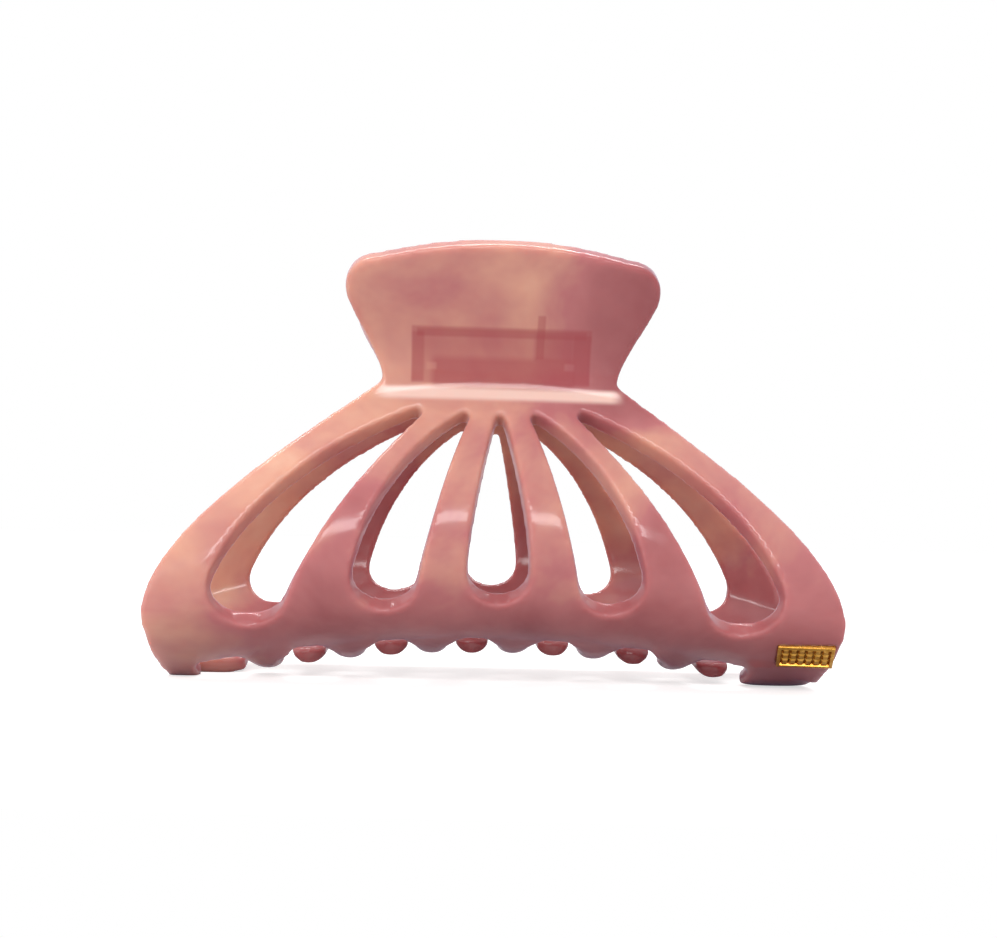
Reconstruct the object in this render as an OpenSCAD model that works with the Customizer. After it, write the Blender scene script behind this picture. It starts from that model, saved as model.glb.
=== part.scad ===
// Large hair claw clip: two equal sprung jaws on a steel hinge pin.
// X runs along the clip, +Z is up, and the front jaw is on the -Y side.
// The origin lies under the middle of the clip, level with its four end feet.

/* [Jaw] */
// Width over the ends of the jaws
clip_w = 106; // [86:1:128]
// Overall height, from the feet to the top of the handles
clip_h = 69.1; // [62:0.1:83]
// Depth of one jaw at its fullest, from the centre plane
belly_depth = 22; // [18:0.1:27]
// Height of the fullest part, at the middle of the jaw
belly_z = 22; // [18:0.1:27]
// Height of the fullest part, at the ends of the jaw
belly_end_z = 11; // [9:0.1:14]
// Thickness of the moulding
wall = 3.2; // [2.4:0.1:4]
// How far the jaw's ends lie behind its middle, seen from above
end_sweep = 3; // [1:0.1:5]

/* [Hem] */
// Depth of the band's lower edge, where the teeth start
hem_depth = 9.5; // [7:0.1:12]
// Height of that edge at the middle of the jaw
hem_z = 7.2; // [6:0.1:9]
// Height of that edge at the ends of the jaw
hem_end_z = 0.7; // [0.4:0.1:1]
// Slope of the teeth and of the band's floor, in degrees
tooth_tilt = 13; // [8:1:18]

/* [Teeth] */
// Teeth on one jaw, between its two end feet
tooth_count = 6; // [4:1:8]
// Width of one tooth
tooth_w = 5.5; // [4:0.1:6]
// Thickness of one tooth
tooth_t = 2.8; // [2:0.1:3.2]
// How far the teeth pass the centre plane
tooth_cross = 1.5; // [0.5:0.1:2.5]
// Width of the narrow end foot
narrow_foot_w = 4.6; // [4:0.1:7]

/* [Slots] */
// Height of the slots' upper ends below the neck
slot_head = 4.8; // [3:0.1:7]
// Height of the floors of the middle, side and outer slots
slot_floor_z = [13, 11.5, 8.9]; // [8:0.1:16]
// Radius of the lower ends of the middle, side and outer slots
slot_foot_r = [4.9, 5.3, 6.2]; // [3.8:0.1:7]
// Radius of the slots' upper ends
slot_tip_r = 0.9; // [0.6:0.1:1.5]
// Distance of the slots' upper ends from the middle
slot_tip_x = [0, 5.7, 13.1]; // [0:0.1:15]
// Share of the ribs' room, at the slots' feet, that the rib beside the middle slot takes
rib_share = 0.44; // [0.35:0.01:0.55]
// Width of the rim outside the outer slots, at their feet
rim_w = 8; // [6:0.1:10]

/* [Handle] */
// Width of the neck between the handle and the jaw
neck_w = 37.6; // [32:0.1:45]
// Height of the neck
neck_z = 48.5; // [44:0.1:56]
// Greatest width of the handle
handle_w = 49; // [42:0.1:58]
// Depth of the handle's top edge, from the centre plane
handle_depth = 19; // [16:0.1:22]
// Lean of the handle's upper part from the vertical, in degrees
handle_lean = 35; // [30:1:40]
// Size of the handle's rounded top corners
handle_corner = 5; // [3:0.1:7]
// Drop of the handle's top edge from its middle to its corners
handle_crown = 2.2; // [1:0.1:4]

/* [Hinge] */
// Diameter of the hinge pin
pin_d = 2; // [1.6:0.1:2.6]
// Height of the pin's axis above the neck
pin_rise = 4.1; // [3.6:0.1:4.8]
// Radius of the ears round the pin
ear_r = 4.6; // [3.6:0.1:4.7]
// Width of one ear along the pin
ear_w = 3.3; // [2.4:0.1:4]
// Gap between neighbouring ears
ear_gap = 0.4; // [0.3:0.05:0.8]
// Room between the ears and the facing jaw's neck
neck_room = 0.6; // [0.4:0.05:1]
// Radial clearance of the pin in the back jaw
pin_clearance = 0.05; // [0.02:0.01:0.1]
// How far the spring ledge stands out from the handle
ledge_out = 1.4; // [1:0.1:2]
// Thickness of the spring ledge
ledge_t = 1.2; // [0.8:0.1:1.6]

/* [Spring] */
// Wire diameter
wire_d = 1.2; // [0.9:0.05:1.4]
// Mean diameter of the coil
coil_d = 5.2; // [4.4:0.1:6]
// Whole turns in the coil
coil_turns = 8; // [6:1:8]
// Gap between the coil's turns
coil_gap = 0.24; // [0.1:0.02:0.4]
// How far each leg runs past its ledge
leg_past = 2.6; // [1.5:0.1:4]

/* [Emblem] */
// Length of the plain metal plate
plate_l = 8.6; // [6:0.1:10]
// Height of the plate
plate_h = 5.4; // [3:0.1:5.8]
// Thickness of the plate
plate_t = 1.1; // [0.9:0.1:1.4]
// Distance of the plate's outer end from the end of the jaw
plate_inset = 0.8; // [0.8:0.1:4]
// Diameter of the plate's two pegs
peg_d = 1; // [0.8:0.1:1.2]

/* [Hidden] */
$fn = 48;

half_w = clip_w / 2;
hem_tuck = 0.8;            // the hem's ends lie this far inside the widest line
foot_inset = 0.4;          // and the end feet this far inside those
foot_gap = 0.2;            // end feet to the centre plane
fit_gap = 0.1;             // between pieces that rest on each other
columns = 24;              // facets along the jaw
resin = [0.77, 0.52, 0.48];

// Cubic curve through p[0] and p[3], and its direction
function bezier(p, t) =
    p[0] * pow(1 - t, 3) + 3 * p[1] * t * pow(1 - t, 2) + 3 * p[2] * t * t * (1 - t) + p[3] * pow(t, 3);
function bezier_dir(p, t) =
    (p[1] - p[0]) * pow(1 - t, 2) + 2 * (p[2] - p[1]) * t * (1 - t) + (p[3] - p[2]) * t * t;
function unit(v) = v / norm(v);

// Side view at the middle of the jaw, as [depth, height] of the outer face.
// It has four stretches: hem, back, flank and crest.
crest_z = clip_h - wall * sin(handle_lean);
lean_dir = [sin(handle_lean), cos(handle_lean)];
crest_top = [handle_depth, crest_z];
crest_foot = crest_top - lean_dir * (handle_corner + handle_crown) / cos(handle_lean);
hem_edge = [hem_depth, hem_z];
belly = [belly_depth, belly_z];
neck = [ear_r + neck_room + wall, neck_z];
side_curves = [
    [hem_edge, hem_edge + 7 * [cos(tooth_tilt), sin(tooth_tilt)], belly - [0, 7], belly],
    [belly, belly + [0, 11], neck - [0, 6], neck],
    [neck, neck + [0, 4.5], crest_foot - lean_dir * 4, crest_foot],
    [crest_foot, crest_foot, crest_top, crest_top]
];

// Front view of the jaw's end edge, as [half width, height], in the same stretches
hem_corner = [half_w - hem_tuck, hem_end_z];
widest = [half_w, belly_end_z];
neck_side = [neck_w / 2, neck_z - 0.5];
corner_foot = [handle_w / 2, crest_z - handle_crown - handle_corner];
corner_top = [handle_w / 2 - handle_corner, crest_z - handle_crown];
end_curves = [
    [hem_corner, hem_corner + [0.5, 3], widest - [0, 3], widest],
    [widest, widest + [0, 12], neck_side + [13, -9], neck_side],
    [neck_side, neck_side + [0.4, 3.5], corner_foot - [1.6, 3.9], corner_foot],
    [corner_foot, corner_foot + [0, 2.8], corner_top + [2.8, 0], corner_top]
];
stretch_steps = [6, 11, 5, 5];

// Rows of the jaw's surface: [outer side point, inner side point, end point, fall].
// The fall takes the row's middle down to its end: straight down on the jaw, and
// down the lean on the flat handle.
function row(k, t) =
    let (p = bezier(side_curves[k], t))
    let (d = unit(bezier_dir(side_curves[k], max(0.02, min(0.98, t)))))
    let (end = bezier(end_curves[k], t))
    [p, p + wall * [-d[1], d[0]], end, (p[1] - end[1]) * (k < 2 ? [0, 1] : d / d[1])];
rows = [for (k = [0 : 3], i = [(k == 0 ? 0 : 1) : stretch_steps[k]]) row(k, i / stretch_steps[k])];

// A row's point at x: it falls and sweeps back towards the ends as a parabola
function row_point(r, p, x) =
    let (q = p - r[3] * pow(x / r[2][0], 2))
    [x, end_sweep * pow(x / half_w, 2) - q[0], q[1]];
function grid_points(side) =
    [for (r = rows, c = [0 : columns]) row_point(r, r[side], r[2][0] * (2 * c / columns - 1))];

// Two triangles for the square at row i and column j of a grid that starts at point s
across = columns + 1;
row_count = len(rows);
inner_start = row_count * across;
function square_faces(a, b, c, d) = [[a, b, c], [a, c, d]];
function at(s, i, j) = s + i * across + j;
outer_faces = [for (i = [0 : row_count - 2], j = [0 : columns - 1])
    each square_faces(at(0, i, j), at(0, i + 1, j), at(0, i + 1, j + 1), at(0, i, j + 1))];
inner_faces = [for (i = [0 : row_count - 2], j = [0 : columns - 1])
    each square_faces(at(inner_start, i, j), at(inner_start, i, j + 1),
        at(inner_start, i + 1, j + 1), at(inner_start, i + 1, j))];
hem_faces = [for (j = [0 : columns - 1])
    each square_faces(at(0, 0, j), at(0, 0, j + 1), at(inner_start, 0, j + 1), at(inner_start, 0, j))];
crest_faces = let (e = row_count - 1) [for (j = [0 : columns - 1])
    each square_faces(at(0, e, j), at(inner_start, e, j), at(inner_start, e, j + 1), at(0, e, j + 1))];
left_faces = [for (i = [0 : row_count - 2])
    each square_faces(at(0, i, 0), at(inner_start, i, 0), at(inner_start, i + 1, 0), at(0, i + 1, 0))];
right_faces = [for (i = [0 : row_count - 2])
    each square_faces(at(0, i, columns), at(0, i + 1, columns),
        at(inner_start, i + 1, columns), at(inner_start, i, columns))];

module shell() {
    polyhedron(
        points = concat(grid_points(0), grid_points(1)),
        faces = concat(outer_faces, inner_faces, hem_faces, crest_faces, left_faces, right_faces),
        convexity = 8
    );
}

// Slots: a middle one and two on each side. Each widens from a narrow tip near
// the neck to a round foot, along a line that bows outwards.
slot_top_z = neck_z - slot_head;
foot_line = half_w - 1.5;  // half width of the jaw at the level of the slots' feet
rib_room = foot_line - rim_w - slot_foot_r[0] - 2 * slot_foot_r[1] - 2 * slot_foot_r[2];
side_foot_x = slot_foot_r[0] + rib_share * rib_room + slot_foot_r[1];
outer_foot_x = foot_line - rim_w - slot_foot_r[2];
slot_foot_x = [0, side_foot_x, outer_foot_x];
bow_x = 0.85;              // the bow's place, as a share of the foot's x
bow_z = [0.6, 0.6, 0.54];  // and as shares of the slots' heights
slot_steps = 8;

function slot_bow(k, top, foot) = [slot_foot_x[k] * bow_x, foot[1] + (top[1] - foot[1]) * bow_z[k]];
function slot_side(top, mid, foot, r, side, u) =
    let (c = top * pow(1 - u, 2) + 2 * mid * u * (1 - u) + foot * u * u)
    let (d = unit((mid - top) * (1 - u) + (foot - mid) * u))
    c + side * (slot_tip_r + (r - slot_tip_r) * (1 - pow(1 - u, 2))) * [-d[1], d[0]];

module slot_outline(k) {
    r = slot_foot_r[k];
    top = [slot_tip_x[k], slot_top_z - slot_tip_r];
    foot = [slot_foot_x[k], slot_floor_z[k] + r];
    mid = slot_bow(k, top, foot);
    down = [for (i = [0 : slot_steps]) slot_side(top, mid, foot, r, 1, i / slot_steps)];
    up = [for (i = [slot_steps : -1 : 0]) slot_side(top, mid, foot, r, -1, i / slot_steps)];
    polygon(concat(down, up));
    translate(top) circle(slot_tip_r);
    translate(foot) circle(r);
}

module slots() {
    rotate([90, 0, 0])
        linear_extrude(belly_depth + wall)
            for (k = [-2 : 2])
                mirror([k < 0 ? 1 : 0, 0, 0]) slot_outline(abs(k));
}

// Teeth: the pitch lets two equal jaws mesh when one is turned round to face the other
foot_end_x = half_w - hem_tuck - foot_inset;
tooth_pitch = (2 * foot_end_x - 2 * narrow_foot_w + tooth_w) / (tooth_count + 1.5);
wide_foot_w = narrow_foot_w + tooth_pitch / 2;
tooth_root = 4;            // length of a tooth inside the band

function sweep_at(x) = end_sweep * pow(x / half_w, 2);
function hem_at(x) = hem_z - (hem_z - hem_end_z) * pow(x / hem_corner[0], 2);

// A flat tongue with rounded corners, from the band's edge at height z. No part
// of it passes y = reach.
module tongue(x, z, w, reach, corner) {
    run = (hem_depth - sweep_at(x) + reach - tooth_t * sin(tooth_tilt)) / cos(tooth_tilt);
    translate([x, -hem_depth + sweep_at(x), z])
        rotate([-tooth_tilt, 0, 0])
            linear_extrude(tooth_t) {
                translate([-w / 2, -tooth_root]) square([w, tooth_root + run - corner]);
                translate([-w / 2 + corner, -tooth_root]) square([w - 2 * corner, tooth_root + run]);
                for (s = [-1, 1]) translate([s * (w / 2 - corner), run - corner]) circle(corner);
            }
}

module teeth() {
    for (i = [0 : tooth_count - 1])
        let (x = (i - (tooth_count - 1) / 2 - 0.25) * tooth_pitch)
            tongue(x, hem_at(x), tooth_w, tooth_cross, tooth_w * 0.45);
    foot_z = hem_at(foot_end_x - narrow_foot_w / 2);
    tongue(-foot_end_x + narrow_foot_w / 2, foot_z, narrow_foot_w, -foot_gap, 1.5);
    tongue(foot_end_x - wide_foot_w / 2, foot_z, wide_foot_w, -foot_gap, 1.5);
}

// Depth of the handle's inner face at a height, from the rows of the surface
inner_depth_table = [for (r = rows) if (r[0][1] > belly_z) [r[1][1], r[1][0]]];
function inner_depth(z) = lookup(z, inner_depth_table);

// Spring, as [y, z] about the pin: the front leg runs down from the front ledge,
// the wire passes under the pin and round it, and the back leg rises to the back ledge
pin_z = neck_z + pin_rise;
ledge_z = pin_z + ear_r - ledge_t / 2;
coil_r = coil_d / 2;
ledge_tip = [-inner_depth(ledge_z) + ledge_out, ledge_z + ledge_t / 2 - pin_z];
leg_off = coil_r + wire_d / 2 + fit_gap;
leave_angle = atan2(ledge_tip[1], ledge_tip[0]) + acos(leg_off / norm(ledge_tip));
leg_run = sqrt(pow(norm(ledge_tip), 2) - leg_off * leg_off) + leg_past;
leg_tip = coil_r * [cos(leave_angle), sin(leave_angle)] + leg_run * [sin(leave_angle), -cos(leave_angle)];
coil_angle = 360 * coil_turns + 2 * (270 - leave_angle);
coil_len = (wire_d + coil_gap) * coil_angle / 360;

// Hinge ears: an outer one on the left and an inner one on the right, so that
// the ears of the facing jaw fit beside them and the spring between them
coil_room = coil_len + 2 * wire_d;
ear_line = coil_room / 2 + 2 * ear_w + ear_gap;

module ear(x) {
    translate([x, 0, pin_z]) rotate([0, 90, 0]) cylinder(h = ear_w, r = ear_r);
    translate([x, -inner_depth(pin_z) - wall / 2, pin_z - ear_r])
        cube([ear_w, inner_depth(pin_z) + wall / 2, 2 * ear_r]);
}

module ledge() {
    depth = inner_depth(ledge_z);
    translate([-ear_line, -depth - wall / 3, ledge_z - ledge_t / 2])
        cube([2 * ear_line - ear_w - ear_gap, ledge_out + wall / 3, ledge_t]);
}

module jaw(bore_r) {
    difference() {
        union() {
            difference() {
                shell();
                slots();
            }
            teeth();
            ear(-ear_line);
            ear(coil_room / 2);
            ledge();
        }
        translate([-clip_w, 0, pin_z]) rotate([0, 90, 0]) cylinder(h = 2 * clip_w, r = bore_r);
        translate([-clip_w, -clip_w, -clip_w]) cube([2 * clip_w, 2 * clip_w, clip_w]);
    }
}

// Metal plate low on the right-hand end, on a flat seat with two peg holes
plate_x = half_w - plate_inset - plate_l / 2;
plate_t_hem = 0.42;        // its place along the hem's curve
plate_sink = 0.7;          // depth of its seat
peg_spacing = plate_l * 0.55;
peg_l = 1.4;

function hem_point(x, t) = let (r = row(0, t)) row_point(r, r[0], x);
plate_at = hem_point(plate_x, plate_t_hem);
hem_slope = hem_point(plate_x + 0.5, plate_t_hem) - hem_point(plate_x - 0.5, plate_t_hem);
plate_out = unit(cross(hem_slope, hem_point(plate_x, plate_t_hem + 0.02) - plate_at));
plate_along = unit(cross([0, 0, 1], plate_out));
plate_up = cross(plate_out, plate_along);

// Local X is along the plate, Y up it, and Z out of the jaw
module on_plate_seat() {
    multmatrix([for (i = [0 : 2]) [plate_along[i], plate_up[i], plate_out[i], plate_at[i]]])
        translate([0, 0, -plate_sink])
            children();
}

module pegs(r, l) {
    for (s = [-1, 1]) translate([s * peg_spacing / 2, 0, -l]) cylinder(h = l + 0.1, r = r);
}

module front_jaw() {
    color(resin)
        difference() {
            jaw(pin_d / 2);
            on_plate_seat() {
                translate([-plate_l / 2 - fit_gap, -plate_h / 2 - fit_gap, 0])
                    cube([plate_l + 2 * fit_gap, plate_h + 2 * fit_gap, wall]);
                pegs(peg_d / 2, peg_l + fit_gap);
            }
        }
}

module back_jaw() {
    color(resin) rotate([0, 0, 180]) jaw(pin_d / 2 + pin_clearance);
}

module hinge_pin() {
    pin_chamfer = 0.3;
    color("silver")
        translate([0, 0, pin_z])
            rotate([0, 90, 0])
                rotate_extrude()
                    polygon([
                        [0, -ear_line],
                        [pin_d / 2 - pin_chamfer, -ear_line],
                        [pin_d / 2, -ear_line + pin_chamfer],
                        [pin_d / 2, ear_line - pin_chamfer],
                        [pin_d / 2 - pin_chamfer, ear_line],
                        [0, ear_line]
                    ]);
}

ring_sides = 8;
ring_step = 30;            // degrees between the rings of the coil

function coil_point(a) =
    [coil_len * (0.5 - a / coil_angle), coil_r * cos(leave_angle + a), pin_z + coil_r * sin(leave_angle + a)];
coil_rings = ceil(coil_angle / ring_step);
wire_line = concat(
    [[coil_len / 2, leg_tip[0], pin_z + leg_tip[1]]],
    [for (i = [0 : coil_rings]) coil_point(i * coil_angle / coil_rings)],
    [[-coil_len / 2, -leg_tip[0], pin_z + leg_tip[1]]]
);
wire_last = len(wire_line) - 1;

// Each ring lies across the wire, with one axis as near to the pin's as it can be
function wire_ring(i) =
    let (d = unit(wire_line[min(i + 1, wire_last)] - wire_line[max(i - 1, 0)]))
    let (u = unit([1, 0, 0] - d * d[0]))
    let (v = cross(d, u))
    [for (s = [0 : ring_sides - 1]) wire_line[i]
        + wire_d / 2 * (u * cos(s * 360 / ring_sides) + v * sin(s * 360 / ring_sides))];

module torsion_spring() {
    color("gainsboro")
        polyhedron(
            points = [for (i = [0 : wire_last]) each wire_ring(i)],
            faces = concat(
                [[for (s = [0 : ring_sides - 1]) s]],
                [for (i = [0 : wire_last - 1], s = [0 : ring_sides - 1])
                    let (a = i * ring_sides + s, b = i * ring_sides + (s + 1) % ring_sides)
                    each square_faces(a, a + ring_sides, b + ring_sides, b)],
                [[for (s = [ring_sides - 1 : -1 : 0]) wire_last * ring_sides + s]]
            ),
            convexity = 10
        );
}

module emblem_plate() {
    plate_bevel = 0.3;
    color("goldenrod")
        on_plate_seat() {
            translate([-plate_l / 2, -plate_h / 2, 0]) cube([plate_l, plate_h, plate_t - plate_bevel]);
            translate([-plate_l / 2 + plate_bevel, -plate_h / 2 + plate_bevel, 0])
                cube([plate_l - 2 * plate_bevel, plate_h - 2 * plate_bevel, plate_t]);
            pegs(peg_d / 2 - fit_gap / 2, peg_l);
        }
}

front_jaw();
back_jaw();
hinge_pin();
torsion_spring();
emblem_plate();
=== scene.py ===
"""A large hair claw clip: two equal sprung jaws of marbled resin that turn on a steel pin.

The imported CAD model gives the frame, in metres: X along the clip, Z up, front jaw towards -Y.
Each section makes one kind of piece, in the order in which the clip is put together.
"""
import math

import bpy
from mathutils import Matrix, Vector


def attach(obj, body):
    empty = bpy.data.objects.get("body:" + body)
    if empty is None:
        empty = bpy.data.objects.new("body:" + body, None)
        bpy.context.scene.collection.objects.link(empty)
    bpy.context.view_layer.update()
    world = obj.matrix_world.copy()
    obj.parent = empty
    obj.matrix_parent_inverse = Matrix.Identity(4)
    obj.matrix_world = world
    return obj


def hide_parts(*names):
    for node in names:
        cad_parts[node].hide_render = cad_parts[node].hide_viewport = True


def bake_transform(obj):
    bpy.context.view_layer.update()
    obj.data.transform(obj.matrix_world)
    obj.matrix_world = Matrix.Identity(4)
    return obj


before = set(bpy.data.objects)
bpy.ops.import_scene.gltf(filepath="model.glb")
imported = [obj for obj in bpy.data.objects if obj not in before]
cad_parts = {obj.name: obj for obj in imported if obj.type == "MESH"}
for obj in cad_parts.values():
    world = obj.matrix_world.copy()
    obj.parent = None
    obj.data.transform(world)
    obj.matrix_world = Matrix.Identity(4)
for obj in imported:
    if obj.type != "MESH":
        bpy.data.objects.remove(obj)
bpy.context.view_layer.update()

# ------------------------------------------------------------------------------------------
# Jaws. Each is one injection moulding of marbled resin, 3.2 mm thick: a band of teeth, fanned
# ribs, a neck and a handle, with two hinge ears and a spring ledge behind the handle. It comes
# out of a polished mould, so it is glossy, and tumbling has rounded every edge.
# ------------------------------------------------------------------------------------------
MM = 0.001
WALL = 3.2
HALF_WIDTH = 53.0
END_SWEEP = 3.0            # the jaw's ends lie this far behind its middle
COLUMNS, ROWS = 132, 104   # cells of the sheet that becomes the wall
VOXEL = 0.42               # grain of the fused moulding
ROUNDING = 12              # smoothing passes that stand for the tumbling

# The outer face seen from the side at the middle of the jaw, as (depth, height), and the jaw's
# end edge seen from the front, as (half width, height): hem, back, flank and crest
SIDE_CURVES = (
    ((9.5, 7.2), (16.32, 8.78), (22, 15), (22, 22)),
    ((22, 22), (22, 33), (8.4, 42.5), (8.4, 48.5)),
    ((8.4, 48.5), (8.4, 53), (11.67, 56.68), (13.96, 59.96)),
    ((13.96, 59.96), (13.96, 59.96), (19.2, 67.45), (19.2, 67.45)),
)
END_CURVES = (
    ((52.2, 0.7), (52.7, 3.7), (53, 8), (53, 11)),
    ((53, 11), (53, 23), (31.8, 39), (18.8, 48)),
    ((18.8, 48), (19.2, 51.5), (22.9, 56), (24.6, 60.1)),
    ((24.6, 60.1), (25.4, 62.8), (23.2, 65.3), (19.7, 65.3)),
)
STRETCH_ENDS = (0.0, 0.28, 0.71, 0.87, 1.0)   # share of the sheet's rows below each stretch
SLOPE_STEP = 0.01          # share of a stretch over which its slope is measured


def bezier(curve, t):
    a, b, c, d = (Vector(p) for p in curve)
    return a * (1 - t) ** 3 + 3 * b * t * (1 - t) ** 2 + 3 * c * t * t * (1 - t) + d * t ** 3


def jaw_point(across, up, sunk=0.0):
    """A point of the front jaw in mm, sunk below its outer face.

    across runs from -1 to 1 along the clip, and up from 0 at the hem to 1 at the crest."""
    k = max(i for i in range(4) if up >= STRETCH_ENDS[i] - 1e-9)
    t = (up - STRETCH_ENDS[k]) / (STRETCH_ENDS[k + 1] - STRETCH_ENDS[k])
    side, end = bezier(SIDE_CURVES[k], t), bezier(END_CURVES[k], t)
    middle = max(2 * SLOPE_STEP, min(1 - 2 * SLOPE_STEP, t))
    above, below = (bezier(SIDE_CURVES[k], middle + step) for step in (SLOPE_STEP, -SLOPE_STEP))
    slope = (above - below).normalized()
    lean = slope / slope.y if k > 1 else Vector((0, 1))
    place = side - (side.y - end.y) * lean * across ** 2 + sunk * Vector((-slope.y, slope.x))
    x = across * end.x
    return Vector((x, END_SWEEP * (x / HALF_WIDTH) ** 2 - place.x, place.y))


def deselect():
    bpy.ops.object.select_all(action="DESELECT")


def active():
    return bpy.context.view_layer.objects.active


def apply_modifier(piece, kind, **settings):
    """Adds a modifier to a piece and applies it."""
    bpy.context.view_layer.objects.active = piece
    modifier = piece.modifiers.new(kind, kind)
    for name, value in settings.items():
        setattr(modifier, name, value)
    bpy.ops.object.modifier_apply(modifier=modifier.name)


def edit(piece, test, domain="faces"):
    """Opens a piece in edit mode with only the parts that pass a test selected."""
    bpy.context.view_layer.objects.active = piece
    bpy.ops.object.mode_set(mode="EDIT")
    bpy.ops.mesh.select_mode(type={"faces": "FACE", "edges": "EDGE", "vertices": "VERT"}[domain])
    bpy.ops.mesh.select_all(action="DESELECT")
    bpy.ops.object.mode_set(mode="OBJECT")
    mesh = piece.data
    for part in {"faces": mesh.polygons, "edges": mesh.edges, "vertices": mesh.vertices}[domain]:
        part.select = test(part)
    bpy.ops.object.mode_set(mode="EDIT")


def finish_edit():
    bpy.ops.object.mode_set(mode="OBJECT")


# Slots, a middle one and two on each side: places of the tip, the bow and the foot's centre on
# the outer face, as (x, height), with the foot's radius and how soon the slot widens
SLOTS = (
    ((0, 42.1), (0, 30), (0, 18.0), 5.1, 1.6),
    ((5.6, 42.4), (14.3, 32.5), (17.0, 17.0), 5.4, 2.0),
    ((13.1, 42.9), (31.6, 30.4), (37.3, 15.2), 6.3, 1.9),
)
SLOT_TIP_R = 0.95
SLOT_STEPS, CAP_STEPS = 16, 10
SLOT_DRAFT = 0.9           # the slot is this much narrower all round on the inner face
SLOT_OVER = 1.5            # how far a slot's plug passes the wall before it turns straight
SLOT_FRONT, SLOT_BACK = -40, 1   # depths of the plug's two ends
HALVINGS = 24              # steps of the search for a place on the sheet


def slot_outline(tip, bow, foot, foot_r, widening, inset):
    """Points round a slot in mm, as (x, height): down one side, round the foot, up and round the tip."""
    tip, bow, foot = Vector(tip), Vector(bow), Vector(foot)
    tip_r, foot_r = SLOT_TIP_R - inset / 2, foot_r - inset
    foot = foot - Vector((0, inset))
    left, right = [], []
    for i in range(SLOT_STEPS + 1):
        u = i / SLOT_STEPS
        centre = tip * (1 - u) ** 2 + 2 * bow * u * (1 - u) + foot * u * u
        along = ((bow - tip) * (1 - u) + (foot - bow) * u).normalized()
        across = Vector((-along.y, along.x)) * (tip_r + (foot_r - tip_r) * (1 - (1 - u) ** widening))
        left.append(centre - across)
        right.append(centre + across)

    def cap(centre, way, radius):
        first = math.atan2(way.y, way.x) - math.pi / 2
        turns = [first + math.pi * i / CAP_STEPS for i in range(1, CAP_STEPS)]
        return [centre + radius * Vector((math.cos(a), math.sin(a))) for a in turns]

    return left + cap(foot, foot - bow, foot_r) + right[::-1] + cap(tip, tip - bow, tip_r)


def wall_place(x, height):
    """Where a point of the outer face lies on the sheet, as (across, up)."""
    low, high = 0.0, STRETCH_ENDS[2]
    for _ in range(HALVINGS):
        up = (low + high) / 2
        across = x / jaw_point(1, up).x
        low, high = (up, high) if jaw_point(across, up).z < height else (low, up)
    return across, up


def slot_cutter(mirror, *slot):
    """A plug that fills a slot. It crosses the wall at right angles, so its four rings are: far in
    front of the jaw, just outside the wall, just inside it, and at the clip's centre plane."""
    outer, inner = slot_outline(*slot, 0), slot_outline(*slot, SLOT_DRAFT)
    rings = [[jaw_point(*wall_place(*p), -SLOT_OVER) for p in outer],
             [jaw_point(*wall_place(*p), WALL + SLOT_OVER) for p in inner]]
    rings.insert(0, [Vector((p.x, SLOT_FRONT, p.z)) for p in rings[0]])
    rings.append([Vector((p.x, SLOT_BACK, p.z)) for p in rings[2]])
    deselect()
    bpy.ops.mesh.primitive_circle_add(vertices=len(outer), radius=1, fill_type="NGON")
    cutter = active()
    edit(cutter, lambda face: True)
    for _ in range(3):
        bpy.ops.mesh.extrude_region_move(TRANSFORM_OT_translate={"value": (0, 0, 1)})
    finish_edit()
    for vertex in cutter.data.vertices:
        turn = math.atan2(vertex.co.y, vertex.co.x) / (2 * math.pi)
        point = rings[round(vertex.co.z)][round(turn * len(outer)) % len(outer)]
        vertex.co = MM * Vector((mirror * point.x, point.y, point.z))
    edit(cutter, lambda face: True)
    bpy.ops.mesh.normals_make_consistent(inside=False)
    finish_edit()
    return cutter


def cut(piece, cutter):
    """Takes a cutter's shape out of a piece and throws the cutter away."""
    apply_modifier(piece, "BOOLEAN", operation="DIFFERENCE", solver="MANIFOLD", object=cutter)
    bpy.data.objects.remove(cutter)


def join(pieces):
    """Joins pieces into the first of them."""
    deselect()
    for piece in pieces:
        piece.select_set(True)
    bpy.context.view_layer.objects.active = pieces[0]
    bpy.ops.object.join()
    return pieces[0]


# Teeth: six tongues on the hem, between a narrow foot and a wide one that carry the clip. Each
# flares into its neighbours at the hem and bends from steep at the hem to level at its tip.
TOOTH_BASE, TOOTH_TIP, TOOTH_THICKNESS, TOOTH_TIP_THICKNESS = 9.6, 5.6, 3.2, 2.6
TOOTH_ROOT, TOOTH_CROSS, TOOTH_DROP, TOOTH_ROUND = 4.0, 1.7, 2.9, 1.7
TOOTH_CELLS, TOOTH_CROWN, FOOT_CROWN = 16, 1.5, 0.4
FLARE_POWER, CROWN_POWER = 2.5, 2.5   # how suddenly a tooth flares, and its corners rise
TOOTH_PITCH = 13.32
TOOTH_X = [(i - 2.75) * TOOTH_PITCH for i in range(6)]
FOOT_END, NARROW_FOOT, WIDE_FOOT, FOOT_GAP, FOOT_DROP = 52.0, 5.0, 11.4, 0.1, 2.0
HEM_DEPTH, HEM_Z, HEM_END_Z, HEM_END_X = 9.5, 7.0, 0.4, 52.2


def hem_height(x):
    return HEM_Z - (HEM_Z - HEM_END_Z) * (x / HEM_END_X) ** 2


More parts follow.
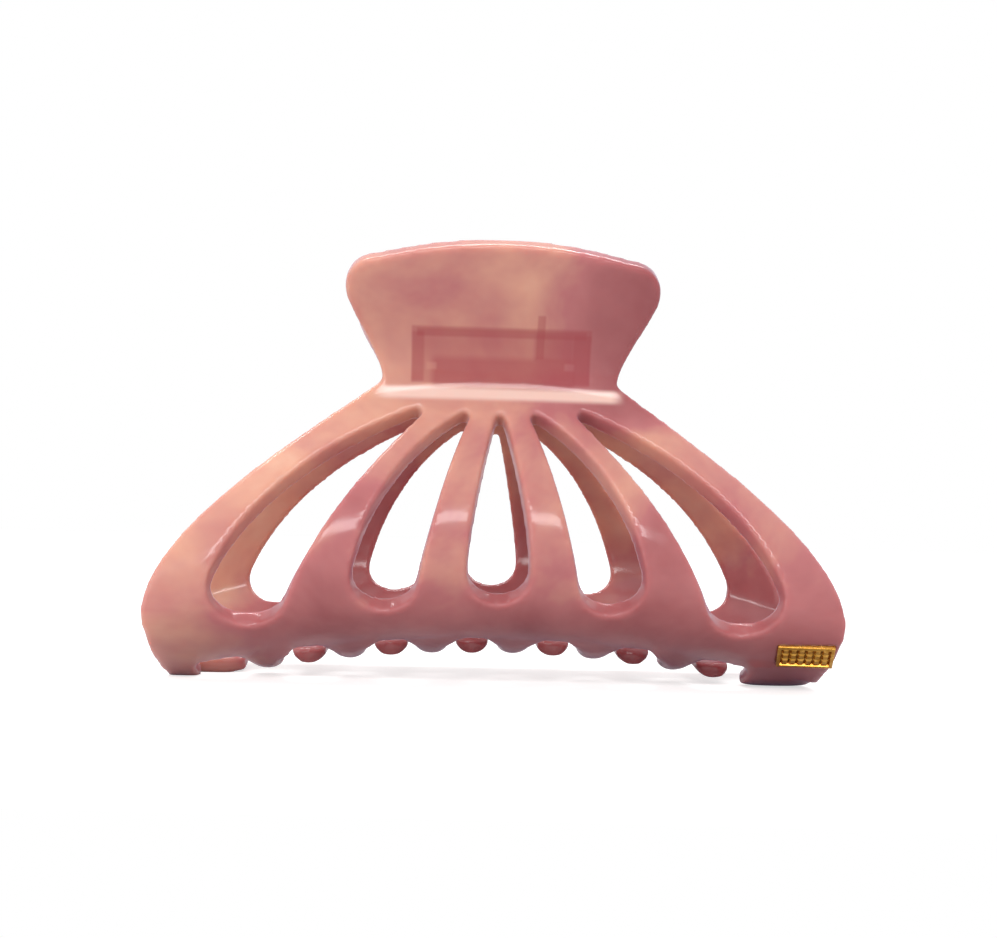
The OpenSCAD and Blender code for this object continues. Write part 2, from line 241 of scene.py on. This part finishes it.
def slab(columns, rows, place):
    """A grid extruded into a slab, with its corners where place(across, up, lift) puts them, in mm;
    across and up run from -1 to 1 over the grid, and lift is 0 on one face and 1 on the other."""
    deselect()
    bpy.ops.mesh.primitive_grid_add(x_subdivisions=columns, y_subdivisions=rows, size=2)
    piece = active()
    edit(piece, lambda face: True)
    bpy.ops.mesh.extrude_region_move(TRANSFORM_OT_translate={"value": (0, 0, 1)})
    finish_edit()
    for vertex in piece.data.vertices:
        vertex.co = MM * place(*vertex.co)
    edit(piece, lambda face: True)
    bpy.ops.mesh.normals_make_consistent(inside=False)
    finish_edit()
    return piece


def tongue(x, base, tip, reach, drop, crown):
    """A tongue from the hem towards the facing jaw. Its corners are raised by a crown, and none of it
    passes y = reach."""
    depth = HEM_DEPTH - END_SWEEP * (x / HALF_WIDTH) ** 2
    run = depth + reach

    def place(across, up, lift):
        share = (up + 1) / 2 * (1 + TOOTH_ROOT / run) - TOOTH_ROOT / run
        way = max(0.0, share)
        half = (tip + (base - tip) * (1 - way) ** FLARE_POWER) / 2
        out = run * share - TOOTH_ROUND * way * abs(across) ** 3
        thickness = TOOTH_THICKNESS + (TOOTH_TIP_THICKNESS - TOOTH_THICKNESS) * way
        fall = drop * (1 - (1 - way) ** 2) if share > 0 else 2 * drop * share
        raised = crown * (1 - lift) * abs(across) ** CROWN_POWER * min(1.0, 2 * way)
        return Vector((x + across * half, out - depth, hem_height(x) - fall + lift * thickness + raised))

    return slab(TOOTH_CELLS, TOOTH_CELLS, place)


# Hinge ears, the webs that carry them and the ledge that the spring's leg presses on
PIN_Z, PIN_R, BORE_ROOM = 52.6, 1.0, 0.02
EAR_R, EAR_WIDTH, EAR_LINE = 4.6, 3.3, 14.2
EAR_X = (-EAR_LINE, 7.2)
LEDGE_Z, LEDGE_THICKNESS, LEDGE_OUT = 56.6, 1.2, 1.4
LEDGE_X = (-EAR_LINE, 10.5)
HANDLE_ROWS, NECK_ROW = 400, 240   # fine rows of the wall, and the one where the neck starts
GROUND = ((-60, -60, -5), (60, 60, 0))   # a block under the clip that levels its feet


def block(low, high):
    """A block between two corners in mm."""
    deselect()
    bpy.ops.mesh.primitive_cube_add(size=1)
    piece = active()
    size = Vector(high) - Vector(low)
    for vertex in piece.data.vertices:
        vertex.co = MM * (Vector(low) + Vector((c + 0.5) * s for c, s in zip(vertex.co, size)))
    return piece


def rod(radius, start, end, sides=64):
    """A round rod along X on the hinge line, in mm."""
    deselect()
    bpy.ops.mesh.primitive_cylinder_add(vertices=sides, radius=radius * MM, depth=(end - start) * MM)
    piece = active()
    piece.data.transform(Matrix.Translation(MM * Vector(((start + end) / 2, 0, PIN_Z)))
                         @ Matrix.Rotation(math.pi / 2, 4, "Y"))
    return piece


def handle_depth(z):
    """Depth of the handle's inner face at a height, at the middle of the jaw, in mm."""
    rows = [jaw_point(0, i / HANDLE_ROWS, WALL) for i in range(NECK_ROW, HANDLE_ROWS)]
    return -min(rows, key=lambda point: abs(point.z - z)).y


def hinge_parts():
    pieces = []
    for x in EAR_X:
        pieces.append(rod(EAR_R, x, x + EAR_WIDTH))
        pieces.append(block((x, -handle_depth(PIN_Z) - WALL / 2, PIN_Z - EAR_R),
                            (x + EAR_WIDTH, 0, PIN_Z + EAR_R)))
    depth = handle_depth(LEDGE_Z)
    pieces.append(block((LEDGE_X[0], -depth - WALL / 3, LEDGE_Z - LEDGE_THICKNESS / 2),
                        (LEDGE_X[1], LEDGE_OUT - depth, LEDGE_Z + LEDGE_THICKNESS / 2)))
    return pieces


def make_jaw(name):
    """The whole moulding, fused and rounded, as the front jaw; the bore comes last, sharp."""
    wall = slab(COLUMNS, ROWS, lambda across, up, lift: jaw_point(across, (up + 1) / 2, WALL * (1 - lift)))
    teeth = [tongue(x, TOOTH_BASE, TOOTH_TIP, TOOTH_CROSS, TOOTH_DROP, TOOTH_CROWN) for x in TOOTH_X]
    feet = [tongue(side * (FOOT_END - width / 2), width, width, -FOOT_GAP, FOOT_DROP, FOOT_CROWN)
            for side, width in ((-1, NARROW_FOOT), (1, WIDE_FOOT))]
    jaw = join([wall] + teeth + feet + hinge_parts())
    apply_modifier(jaw, "REMESH", mode="VOXEL", voxel_size=VOXEL * MM)
    sides = [(k, mirror) for k in range(3) for mirror in (-1, 1) if k or mirror > 0]
    cut(jaw, join([slot_cutter(mirror, *SLOTS[k]) for k, mirror in sides]))
    apply_modifier(jaw, "REMESH", mode="VOXEL", voxel_size=VOXEL * MM)
    apply_modifier(jaw, "SMOOTH", factor=0.5, iterations=ROUNDING)
    cut(jaw, rod(PIN_R + BORE_ROOM, -2 * EAR_LINE, 2 * EAR_LINE))
    cut(jaw, block(*GROUND))
    jaw.name = jaw.data.name = name
    deselect()
    jaw.select_set(True)
    bpy.ops.object.shade_smooth()
    return jaw


front_jaw = make_jaw("front_jaw_moulding")
back_jaw = front_jaw.copy()
back_jaw.data = front_jaw.data.copy()
back_jaw.name = back_jaw.data.name = "back_jaw_moulding"
bpy.context.scene.collection.objects.link(back_jaw)
back_jaw.data.transform(Matrix.Rotation(math.pi, 4, "Z"))

# The front jaw alone has a flat seat for the metal plate, low on its right-hand end
PLATE_LENGTH, PLATE_HEIGHT, PLATE_THICKNESS, SEAT_DEPTH, SEAT_ROOM = 8.6, 5.4, 1.1, 0.7, 0.05
PLATE_X, PLATE_UP = 47.9, 0.42 * STRETCH_ENDS[1]


def plate_frame():
    """The seat's own frame in mm: X along the plate, Y up it and Z out of the jaw."""
    across = PLATE_X / jaw_point(1, PLATE_UP).x
    step = 0.005
    centre = jaw_point(across, PLATE_UP)
    slope = jaw_point(across + step, PLATE_UP) - jaw_point(across - step, PLATE_UP)
    out = slope.cross(jaw_point(across, PLATE_UP + step) - centre).normalized()
    along = Vector((0, 0, 1)).cross(out).normalized()
    axes = Matrix((along, out.cross(along), out)).transposed().to_4x4()
    return Matrix.Translation(centre - SEAT_DEPTH * out) @ axes


def on_seat(piece):
    """Moves a piece's mesh from the plate's own frame to its seat."""
    frame_mm = plate_frame()
    frame_mm.translation *= MM
    piece.data.transform(frame_mm)
    return piece


half_seat = Vector((PLATE_LENGTH / 2 + SEAT_ROOM, PLATE_HEIGHT / 2 + SEAT_ROOM))
cut(front_jaw, on_seat(block((-half_seat.x, -half_seat.y, 0), (half_seat.x, half_seat.y, WALL))))


def linear(code):
    """An sRGB hex colour as linear RGBA."""
    parts = [int(code[i:i + 2], 16) / 255 for i in (0, 2, 4)]
    return tuple(c / 12.92 if c <= 0.04045 else ((c + 0.055) / 1.055) ** 2.4 for c in parts) + (1.0,)


def new_material(name):
    material = bpy.data.materials.new(name)
    material.use_nodes = True
    material.node_tree.nodes.clear()
    return material


def add_node(material, kind, values=None, links=None, **settings):
    """Adds a node with its properties, the values of its sockets and the links into them."""
    made = material.node_tree.nodes.new(kind)
    for name, value in settings.items():
        setattr(made, name, value)
    for socket, value in (values or {}).items():
        made.inputs[socket].default_value = value
    for socket, output in (links or {}).items():
        material.node_tree.links.new(output, made.inputs[socket])
    return made


def ramp(material, factor, stops):
    """A colour ramp over a factor, with its stops as (place, hex colour)."""
    made = add_node(material, "ShaderNodeValToRGB", links={"Fac": factor})
    elements = made.color_ramp.elements
    for k, (spot, code) in enumerate(stops):
        element = elements[k] if k < 2 else elements.new(spot)
        element.position, element.color = spot, linear(code)
    return made.outputs["Color"]


def arithmetic(material, operation, first, second, third=None):
    """The result of a sum, where each part is a number or another node's output."""
    made = add_node(material, "ShaderNodeMath", operation=operation)
    for socket, part in enumerate((first, second, third)):
        if isinstance(part, (int, float)):
            made.inputs[socket].default_value = part
        elif part is not None:
            material.node_tree.links.new(part, made.inputs[socket])
    return made.outputs[0]


def inside(material, value, low, high, soft):
    """1 where a value in metres lies between low and high in mm, falling to 0 over soft mm."""
    rise = add_node(material, "ShaderNodeMapRange", {1: (low - soft) * MM, 2: low * MM, 3: 0.0, 4: 1.0},
                    {0: value}, interpolation_type="SMOOTHSTEP").outputs[0]
    drop = add_node(material, "ShaderNodeMapRange", {1: high * MM, 2: (high + soft) * MM, 3: 1.0, 4: 0.0},
                    {0: value}, interpolation_type="SMOOTHSTEP").outputs[0]
    return arithmetic(material, "MULTIPLY", rise, drop)


# Painted shade of what stands behind the handle's wall, as boxes in x and height in mm, with the
# softness of the edge and how dark it is: the whole hinge, the ledge, the ears, the coil and a leg
SHADOWS = (
    ((-14.0, 14.0), (47.9, 56.0), 0.55, 0.45),
    ((-13.2, 13.2), (55.1, 55.7), 0.55, 0.45),
    ((-13.9, -12.6), (48.2, 55.2), 0.6, 0.40),
    ((11.8, 14.0), (48.2, 55.2), 0.6, 0.45),
    ((5.6, 11.0), (51.7, 55.2), 0.7, 0.32),
    ((-10.2, 11.0), (47.9, 51.0), 1.5, 0.55),
    ((5.8, 6.6), (52.0, 57.9), 0.45, 0.45),
)
# The outer face of the neck and handle lies past a depth that grows with the height by this lean
OUTER_LEAN, OUTER_DEPTH, OUTER_SOFT = 0.42, -13.4, 0.15
# Painted light where it comes through beside the coil's two ends, taken out of the painted shade
GLINTS = (((-11.6, -10.6), (50.1, 50.6), 0.6, 0.35), ((10.5, 11.5), (50.4, 50.9), 0.6, 0.35))


def outer_side(material, y, z):
    """1 on the outer face of the neck and the lower handle, and 0 behind it."""
    depth = arithmetic(material, "MULTIPLY_ADD", z, -OUTER_LEAN, arithmetic(material, "ABSOLUTE", y, 0))
    low, high = (OUTER_DEPTH - OUTER_SOFT) * MM, (OUTER_DEPTH + OUTER_SOFT) * MM
    return add_node(material, "ShaderNodeMapRange", {1: low, 2: high}, {0: depth}).outputs[0]


def boxed(material, across, height, box, soft):
    """1 inside a box of x and height in mm, falling to 0 over soft mm."""
    spans, heights = box
    return arithmetic(material, "MULTIPLY", inside(material, across, *spans, soft),
                      inside(material, height, *heights, soft))


def shadow_mask(material, place):
    """How dark the painted shade of the hinge makes the handle of either jaw, from 0 to 1."""
    split = add_node(material, "ShaderNodeSeparateXYZ", links={0: place})
    x, y, z = (split.outputs[k] for k in range(3))
    # The back jaw is the front one turned half round, so its shade is turned with it
    side = arithmetic(material, "MULTIPLY", arithmetic(material, "SIGN", y, 0), -1)
    turned = arithmetic(material, "MULTIPLY", x, side)
    light = 1.0
    for spans, heights, soft, dark in SHADOWS:
        box = boxed(material, turned, z, (spans, heights), soft)
        light = arithmetic(material, "MULTIPLY", light, arithmetic(material, "MULTIPLY_ADD", box, -dark, 1.0))
    dark = arithmetic(material, "SUBTRACT", 1.0, light)
    for spans, heights, soft, bright in GLINTS:
        spot = boxed(material, turned, z, (spans, heights), soft)
        kept = arithmetic(material, "MULTIPLY_ADD", spot, -bright, 1.0)
        dark = arithmetic(material, "MULTIPLY", dark, kept)
    return arithmetic(material, "MULTIPLY", dark, outer_side(material, y, z))


def marbled_resin():
    """Cellulose-like resin, cloudy and a little see-through, with a moulded and tumbled gloss."""
    m = new_material("marbled_resin")
    place = add_node(m, "ShaderNodeTexCoord").outputs["Object"]
    split = add_node(m, "ShaderNodeSeparateXYZ", links={0: place})
    warp = add_node(m, "ShaderNodeTexNoise", {"Scale": 1 / (30 * MM), "Detail": 1.0}, {"Vector": place})
    stirred = add_node(m, "ShaderNodeVectorMath", {1: (18 * MM,) * 3}, {0: warp.outputs["Color"], 2: place},
                       operation="MULTIPLY_ADD")
    cloud = add_node(m, "ShaderNodeTexNoise", {"Scale": 1 / (20 * MM), "Detail": 4.0, "Roughness": 0.55},
                     {"Vector": stirred.outputs[0]})
    # Peach at the left of the handle, darker and rosier to its right and towards the hem; the darkening
    # towards the hem, weaker at the far left end, is painted shade of the band that faces down
    x, y, z = (split.outputs[k] for k in range(3))
    right = add_node(m, "ShaderNodeMapRange", {1: 4 * MM, 2: 24 * MM, 3: 0.0, 4: 0.34}, {0: x}).outputs[0]
    high = add_node(m, "ShaderNodeMapRange", {1: 40 * MM, 2: 48 * MM}, {0: z}).outputs[0]
    low = add_node(m, "ShaderNodeMapRange", {1: 4 * MM, 2: 34 * MM, 3: 0.40, 4: 0.12}, {0: z}).outputs[0]
    left = add_node(m, "ShaderNodeMapRange", {1: -46 * MM, 2: -26 * MM, 3: 0.3, 4: 1.0}, {0: x}).outputs[0]
    darkening = arithmetic(m, "MULTIPLY_ADD", right, high, arithmetic(m, "MULTIPLY", low, left))
    calm = arithmetic(m, "MULTIPLY_ADD", cloud.outputs["Fac"], 0.7, 0.14)
    mixed = arithmetic(m, "ADD", calm, darkening)
    tint = ramp(m, mixed, ((0.34, "E0BCA2"), (0.94, "994F53"), (0.54, "D29C87"), (0.72, "B66F70")))
    # Painted highlight: a pale stripe along the outer face of the neck, where the front light is reflected
    painted_neck_highlight = arithmetic(m, "MULTIPLY", inside(m, z, 45.6, 46.4, 1.1), inside(m, x, -17.5, 17.5, 3.0))
    painted_neck_highlight = arithmetic(m, "MULTIPLY", painted_neck_highlight, outer_side(m, y, z))
    with_neck_highlight = add_node(m, "ShaderNodeMix", {"B": linear("E4C2B6")}, {"Factor": painted_neck_highlight, "A": tint},
                       data_type="RGBA")
    shade = add_node(m, "ShaderNodeMix", {"B": linear("A03E45")},
                     {"Factor": shadow_mask(m, place), "A": with_neck_highlight.outputs["Result"]}, data_type="RGBA")
    shader = add_node(m, "ShaderNodeBsdfPrincipled", {
        "Roughness": 0.16, "IOR": 1.5, "Subsurface Weight": 0.85, "Subsurface Scale": 1.0,
        "Subsurface Radius": (2.6 * MM, 1.8 * MM, 1.7 * MM), "Sheen Weight": 0.35, "Sheen Roughness": 0.35,
        "Sheen Tint": linear("C6B6E4"),
    }, {"Base Color": shade.outputs["Result"]})
    add_node(m, "ShaderNodeOutputMaterial", links={"Surface": shader.outputs["BSDF"]})
    return m


resin = marbled_resin()
for piece, node_name, body in ((front_jaw, "front_jaw", "front"), (back_jaw, "back_jaw", "back")):
    piece.data.materials.clear()
    piece.data.materials.append(resin)
    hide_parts(node_name)
    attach(piece, body)

# ------------------------------------------------------------------------------------------
# Hinge pin. A drawn steel rod, pressed into the front jaw's ears, which the back jaw's ears turn
# on. Its ends are chamfered so that it enters the bores, and drawing has left fine lines along it.
# ------------------------------------------------------------------------------------------
PIN_CHAMFER = 0.3
CREASE_ANGLE = 35          # degrees; edges sharper than this stay sharp


def drawn_steel(name, along, roughness):
    """Bright cold-drawn steel, with faint lines along it."""
    m = new_material(name)
    place = add_node(m, "ShaderNodeTexCoord").outputs["Object"]
    stretched = add_node(m, "ShaderNodeMapping", {"Scale": along}, {"Vector": place})
    lines = add_node(m, "ShaderNodeTexNoise", {"Scale": 1 / (0.25 * MM), "Detail": 3.0},
                     {"Vector": stretched.outputs[0]})
    bump = add_node(m, "ShaderNodeBump", {"Strength": 0.15, "Distance": 0.02 * MM},
                    {"Height": lines.outputs["Fac"]})
    worn = add_node(m, "ShaderNodeMapRange", {3: roughness - 0.06, 4: roughness + 0.08},
                    {0: lines.outputs["Fac"]})
    tint = ramp(m, lines.outputs["Fac"], ((0.3, "B9B7B4"), (0.7, "D5D3D0")))
    shader = add_node(m, "ShaderNodeBsdfPrincipled", {"Metallic": 1.0},
                      {"Base Color": tint, "Roughness": worn.outputs[0], "Normal": bump.outputs[0]})
    add_node(m, "ShaderNodeOutputMaterial", links={"Surface": shader.outputs["BSDF"]})
    return m


def finish_piece(piece, name, material, node_name, body):
    """Names a piece, gives it its material, smooths its shading, hides the CAD node it stands for and hangs
    it on its body, if any.
    """
    piece.name = piece.data.name = name
    piece.data.materials.clear()
    piece.data.materials.append(material)
    deselect()
    piece.select_set(True)
    bpy.context.view_layer.objects.active = piece
    bpy.ops.object.shade_smooth_by_angle(angle=math.radians(CREASE_ANGLE))
    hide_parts(node_name)
    if body:
        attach(piece, body)


pin = rod(PIN_R, -EAR_LINE, EAR_LINE, 48)
edit(pin, lambda face: abs(face.normal.x) > 0.9)
bpy.ops.mesh.bevel(offset=PIN_CHAMFER * MM, segments=3)
finish_edit()
pin_steel = drawn_steel("drawn_steel_rod", (0.04, 1, 1), 0.24)
finish_piece(pin, "steel_hinge_pin", pin_steel, "hinge_pin", "front")

# ------------------------------------------------------------------------------------------
# Torsion spring. Hard-drawn wire wound round the pin between the ears, with one leg that presses
# on each jaw's ledge. It was made more open than it sits, so it is wound up when the clip opens.
# ------------------------------------------------------------------------------------------
WIRE_R, COIL_R, COIL_TURNS, COIL_GAP, REST_GAP, LEG_PAST = 0.6, 2.6, 8, 0.24, 0.1, 2.6
STEPS_A_TURN = 36
WIRE_ROUNDNESS = 4         # extra corners in each quarter of the wire's section
MERGE_WITHIN = 0.001       # corners of a mesh closer than this, in mm, become one


def spring_line():
    """The wire's own line in mm, from the tip of the front leg to the tip of the back one."""
    ledge = Vector((LEDGE_OUT - handle_depth(LEDGE_Z), LEDGE_Z + LEDGE_THICKNESS / 2 - PIN_Z))
    leg_off = COIL_R + WIRE_R + REST_GAP
    leave = math.atan2(ledge.y, ledge.x) + math.acos(leg_off / ledge.length)
    run = math.sqrt(ledge.length ** 2 - leg_off ** 2) + LEG_PAST
    tip = COIL_R * Vector((math.cos(leave), math.sin(leave)))
    tip += run * Vector((math.sin(leave), -math.cos(leave)))
    turn = 2 * math.pi * COIL_TURNS + 2 * (1.5 * math.pi - leave)
    length = (2 * WIRE_R + COIL_GAP) * turn / (2 * math.pi)
    steps = round(turn / (2 * math.pi) * STEPS_A_TURN)
    coil = []
    for i in range(steps + 1):
        angle = leave + turn * i / steps
        coil.append(Vector((length * (0.5 - i / steps), COIL_R * math.cos(angle),
                            PIN_Z + COIL_R * math.sin(angle))))
    front_tip = Vector((length / 2, tip.x, PIN_Z + tip.y))
    back_tip = Vector((-length / 2, -tip.x, PIN_Z + tip.y))
    return [front_tip] + coil + [back_tip]


def wire(points, radius):
    """A round wire along points in mm, with flat ends, as a mesh."""
    curve = bpy.data.curves.new("wire", "CURVE")
    curve.dimensions, curve.bevel_depth, curve.bevel_resolution = "3D", radius * MM, WIRE_ROUNDNESS
    curve.use_fill_caps = True
    spline = curve.splines.new("POLY")
    spline.points.add(len(points) - 1)
    for spot, point in zip(spline.points, points):
        spot.co = (*(MM * point), 1)
    piece = bpy.data.objects.new("wire", curve)
    bpy.context.scene.collection.objects.link(piece)
    deselect()
    piece.select_set(True)
    bpy.context.view_layer.objects.active = piece
    bpy.ops.object.convert(target="MESH")
    edit(piece, lambda face: True)
    bpy.ops.mesh.remove_doubles(threshold=MERGE_WITHIN * MM)
    bpy.ops.mesh.normals_make_consistent(inside=False)
    finish_edit()
    return piece


spring = wire(spring_line(), WIRE_R)
wire_steel = drawn_steel("spring_wire_steel", (1, 1, 1), 0.3)
finish_piece(spring, "torsion_spring_wire", wire_steel, "torsion_spring", None)
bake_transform(spring)

# ------------------------------------------------------------------------------------------
# Plate. A small gold-plated zinc casting, held in its seat by two hidden pegs. It has a raised
# rim round a sunk field of plain low studs, all of it polished.
# ------------------------------------------------------------------------------------------
RIM, FIELD_DEPTH, FIELD_SLOPE, PLATE_EDGE = 0.55, 0.42, 0.14, 0.16
STUD_COLUMNS, STUD_ROWS, STUD_GAP, STUD_RISE, STUD_SLOPE = 6, 3, 0.12, 0.3, 0.22
TOP_SIDE = 3               # the flat top is the only face larger than a square of this side, in mm

half_plate = Vector((PLATE_LENGTH / 2, PLATE_HEIGHT / 2))
plate = block((-half_plate.x, -half_plate.y, 0), (half_plate.x, half_plate.y, PLATE_THICKNESS))
edit(plate, lambda corner_edge: True, "edges")
bpy.ops.mesh.bevel(offset=PLATE_EDGE * MM, segments=3)
finish_edit()
edit(plate, lambda face: face.normal.z > 0.99 and face.area > (TOP_SIDE * MM) ** 2)
bpy.ops.mesh.inset(thickness=(RIM - PLATE_EDGE) * MM)
bpy.ops.mesh.inset(thickness=FIELD_SLOPE * MM, depth=-FIELD_DEPTH * MM)
bpy.ops.mesh.delete(type="FACE")
finish_edit()
deselect()
field_size = Vector((PLATE_LENGTH, PLATE_HEIGHT)) - Vector((1, 1)) * 2 * (RIM + FIELD_SLOPE)
bpy.ops.mesh.primitive_grid_add(x_subdivisions=STUD_COLUMNS, y_subdivisions=STUD_ROWS, size=1)
field = active()
for vertex in field.data.vertices:
    x, y = vertex.co.x * field_size.x, vertex.co.y * field_size.y
    vertex.co = MM * Vector((x, y, PLATE_THICKNESS - FIELD_DEPTH))
edit(field, lambda face: True)
bpy.ops.mesh.inset(thickness=STUD_GAP / 2 * MM, use_individual=True)
bpy.ops.mesh.inset(thickness=STUD_SLOPE * MM, depth=STUD_RISE * MM, use_individual=True)
finish_edit()
join([plate, field])
edit(plate, lambda face: True)
bpy.ops.mesh.fill_holes(sides=0)
bpy.ops.mesh.remove_doubles(threshold=MERGE_WITHIN * MM)
finish_edit()
on_seat(plate)


def gold_plating():
    """Thin polished gold over zinc, warm and slightly worn, with faint polishing marks."""
    m = new_material("polished_gold_plating")
    place = add_node(m, "ShaderNodeTexCoord").outputs["Object"]
    marks = add_node(m, "ShaderNodeTexNoise", {"Scale": 1 / (0.6 * MM), "Detail": 4.0}, {"Vector": place})
    bump = add_node(m, "ShaderNodeBump", {"Strength": 0.2, "Distance": 0.03 * MM},
                    {"Height": marks.outputs["Fac"]})
    worn = add_node(m, "ShaderNodeMapRange", {3: 0.16, 4: 0.34}, {0: marks.outputs["Fac"]})
    tint = ramp(m, marks.outputs["Fac"], ((0.3, "B07A2A"), (0.7, "D9A653")))
    shader = add_node(m, "ShaderNodeBsdfPrincipled", {"Metallic": 1.0},
                      {"Base Color": tint, "Roughness": worn.outputs[0], "Normal": bump.outputs[0]})
    add_node(m, "ShaderNodeOutputMaterial", links={"Surface": shader.outputs["BSDF"]})
    return m


finish_piece(plate, "gold_emblem_plate", gold_plating(), "emblem_plate", "front")

# ------------------------------------------------------------------------------------------
# Studio: a pale floor, soft lights and the camera. It isn't part of the clip.
# ------------------------------------------------------------------------------------------
deselect()
bpy.ops.mesh.primitive_plane_add(size=8)
floor = active()
floor.name = "floor"
paper = new_material("white_paper_sweep")
paper_shader = add_node(paper, "ShaderNodeBsdfDiffuse", {"Color": linear("D0D0D0")})
glow = add_node(paper, "ShaderNodeEmission", {"Strength": 0.62})
lit = add_node(paper, "ShaderNodeAddShader", links={0: paper_shader.outputs[0], 1: glow.outputs[0]})
seen = add_node(paper, "ShaderNodeLightPath")
shown = add_node(paper, "ShaderNodeMixShader",
                 links={0: seen.outputs["Is Camera Ray"], 1: paper_shader.outputs[0], 2: lit.outputs[0]})
add_node(paper, "ShaderNodeOutputMaterial", links={"Surface": shown.outputs[0]})
floor.data.materials.append(paper)

world = bpy.data.worlds.new("studio")
bpy.context.scene.world = world
world.use_nodes = True
world.node_tree.nodes.clear()
room = add_node(world, "ShaderNodeBackground", {"Color": (1, 1, 1, 1), "Strength": 0.85})
backdrop = add_node(world, "ShaderNodeBackground", {"Color": (1, 1, 1, 1), "Strength": 1.0})
path = add_node(world, "ShaderNodeLightPath")
mixed = add_node(world, "ShaderNodeMixShader",
                 links={0: path.outputs["Is Camera Ray"], 1: room.outputs[0], 2: backdrop.outputs[0]})
add_node(world, "ShaderNodeOutputWorld", links={"Surface": mixed.outputs[0]})


def softbox(name, place, target, width, height, radiance):
    """A flat light that faces its target; radiance is its own brightness."""
    light = bpy.data.lights.new(name, "AREA")
    light.shape, light.size, light.size_y = "RECTANGLE", width, height
    light.energy = radiance * math.pi * width * height
    lamp = bpy.data.objects.new(name, light)
    bpy.context.scene.collection.objects.link(lamp)
    lamp.location = place
    lamp.rotation_euler = (Vector(target) - Vector(place)).to_track_quat("-Z", "Y").to_euler()


softbox("top_softbox", (-0.05, 0.2, 0.72), (0, 0, 0.04), 0.9, 0.05, 20.0)
softbox("left_softbox", (-0.7, -0.35, 0.15), (0, 0, 0.03), 0.6, 0.6, 0.9)
softbox("front_softbox", (-0.08, -0.6, 0.42), (0, 0, 0.03), 0.7, 0.15, 7.0)

LENS_MM, SENSOR_MM = 43.67, 36
CAMERA_PLACE = (-6.7, -200.8, 23.5)   # in mm
camera_data = bpy.data.cameras.new("camera")
camera_data.lens, camera_data.sensor_width = LENS_MM, SENSOR_MM
camera = bpy.data.objects.new("camera", camera_data)
bpy.context.scene.collection.objects.link(camera)
YAW, PITCH, ROLL = math.radians(-2.01), math.radians(3.15), math.radians(1.44)
camera.matrix_world = (Matrix.Translation(MM * Vector(CAMERA_PLACE)) @ Matrix.Rotation(YAW, 4, "Z")
                       @ Matrix.Rotation(math.pi / 2 + PITCH, 4, "X") @ Matrix.Rotation(ROLL, 4, "Z"))
bpy.context.scene.camera = camera
bpy.context.scene.view_settings.view_transform = "Standard"
